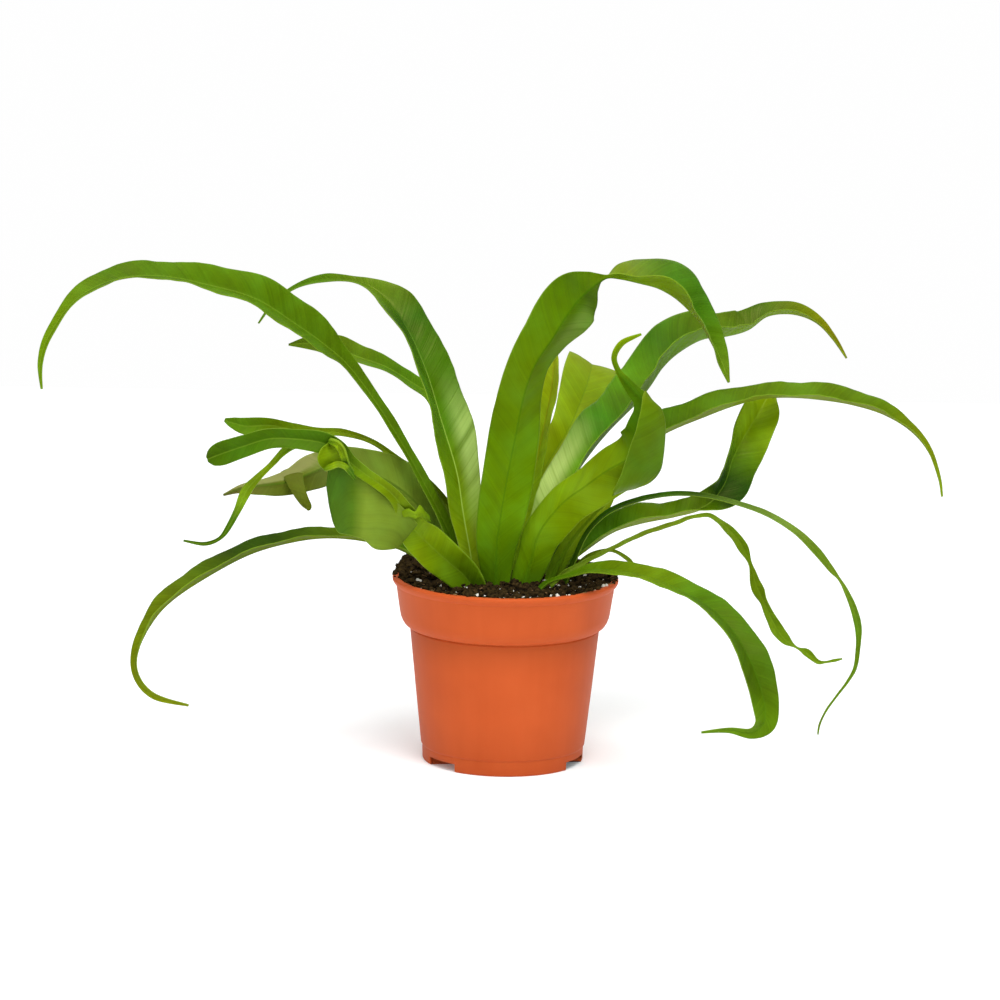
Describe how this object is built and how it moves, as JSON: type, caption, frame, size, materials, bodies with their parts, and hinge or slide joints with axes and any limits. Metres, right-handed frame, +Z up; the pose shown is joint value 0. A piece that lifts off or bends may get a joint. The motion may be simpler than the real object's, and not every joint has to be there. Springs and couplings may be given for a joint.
{
  "type": "potted fern",
  "caption": "Living fern with long wavy strap-shaped fronds arching out of a round tapered plastic nursery pot; a free-standing decorative house plant.",
  "frame": {"origin": "on the pot's axis at the level of the surface that the pot stands on, which is also close to the middle of the plant's spread seen from above", "axes": "+Z up along the pot's axis, +X to the right across the plant's longest spread, -Y towards the front of the plant"},
  "size_m": [0.4773, 0.2432, 0.2735],
  "materials": {
    "terracotta_plastic": "moulded polypropylene in terracotta orange, satin matte, slightly translucent, with faint flow marks and small scuffs",
    "potting_mix": "moist dark brown peat and bark crumbs, fully matte, with pale grains of perlite",
    "rhizome": "fibrous brown scales with the green bases of the fronds",
    "frond_green": "living leaf, waxy and glossy above, matte below, fine side veins and a raised midrib",
    "frond_pale": "living leaf, yellowish green with a reddish brown midrib, satin",
    "frond_olive": "living leaf seen mostly from its matte olive underside, with a thin dark midrib"
  },
  "bodies": {
    "root": {"pot": "terracotta_plastic", "soil": "potting_mix", "crown": "rhizome", "frond_01_left_arch": "frond_green", "frond_02_left_upright": "frond_green", "frond_03_back_left": "frond_green", "frond_04_crested": "frond_green", "frond_05_low_left": "frond_green", "frond_06_olive": "frond_olive", "frond_07_long_stalked": "frond_olive", "frond_08_centre": "frond_green", "frond_09_back_centre": "frond_green", "frond_10_pale": "frond_pale", "frond_11_right_upper": "frond_green", "frond_12_right_mid": "frond_green", "frond_13_right_arch": "frond_green", "frond_14_bent": "frond_green", "frond_15_long_thin": "frond_green", "frond_16_wavy_thin": "frond_green", "frond_17_low_right": "frond_green", "frond_18_tiny": "frond_green", "frond_19_short_right": "frond_green"}
  },
  "joints": []
}
